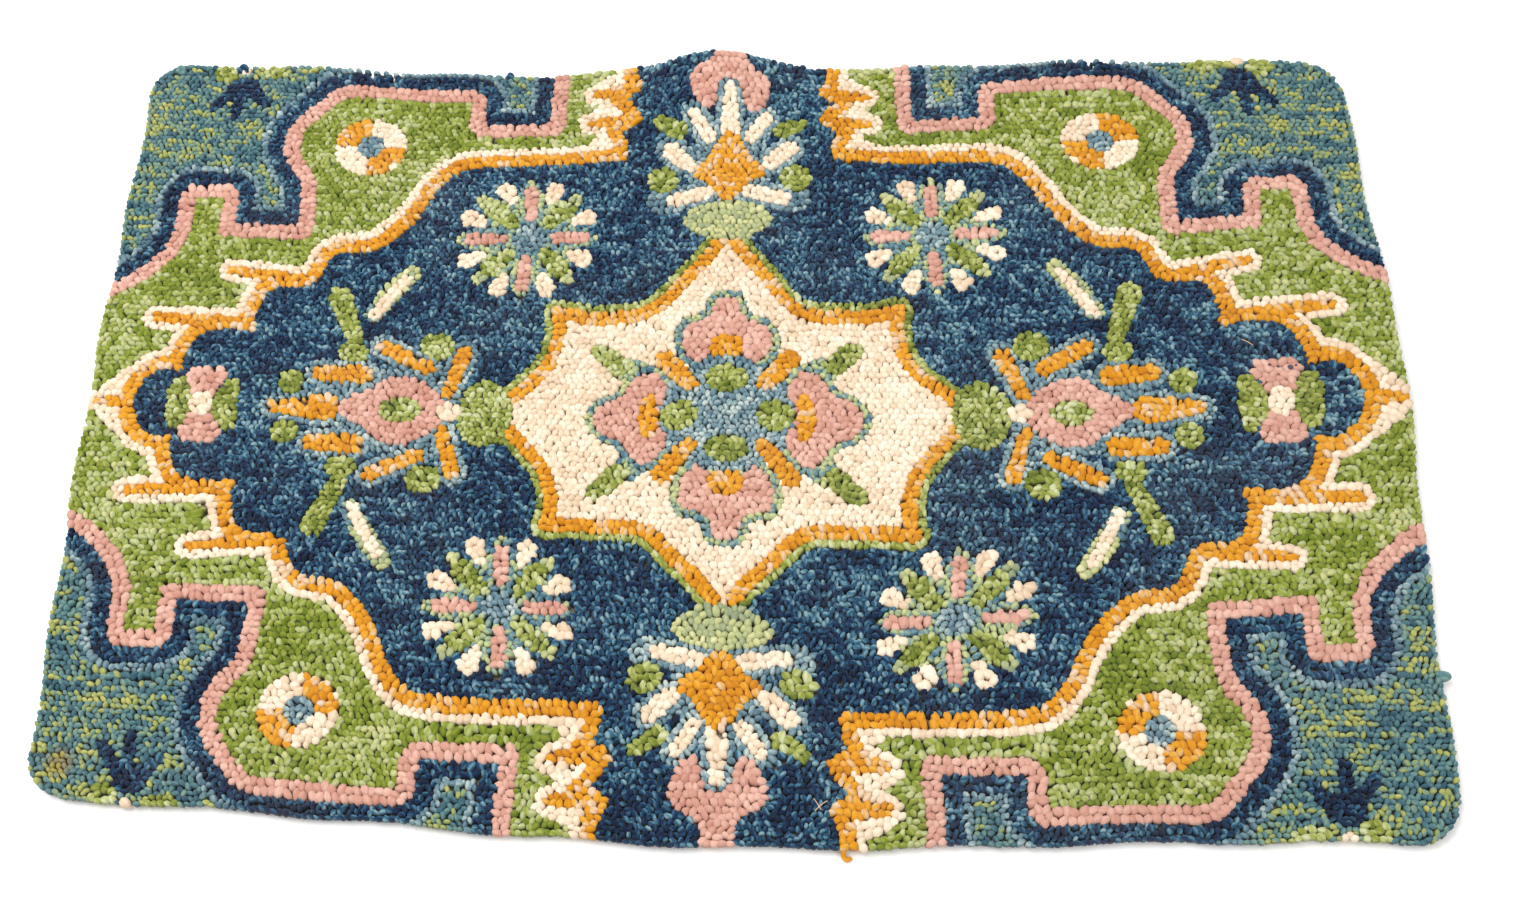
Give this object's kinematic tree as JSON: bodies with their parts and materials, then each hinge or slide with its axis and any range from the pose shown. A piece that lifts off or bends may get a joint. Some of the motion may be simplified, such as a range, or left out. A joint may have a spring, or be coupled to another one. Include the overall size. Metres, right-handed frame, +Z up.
{
  "type": "hooked rug",
  "caption": "Flat rectangular hooked rug with round corners, wool loops drawn through one ground cloth, in an eight-pointed star medallion and spandrel pattern.",
  "frame": {"origin": "centre of the rug's bounding box on the floor", "axes": "+Z up from the floor, +X along the rug's long side, +Y towards its back edge"},
  "size_m": [0.9384, 0.6322, 0.0189],
  "materials": {
    "dyed_wool": "looped wool pile, heathered yarns"
  },
  "bodies": {
    "root": {"hooked_rug": "dyed_wool"}
  },
  "joints": []
}
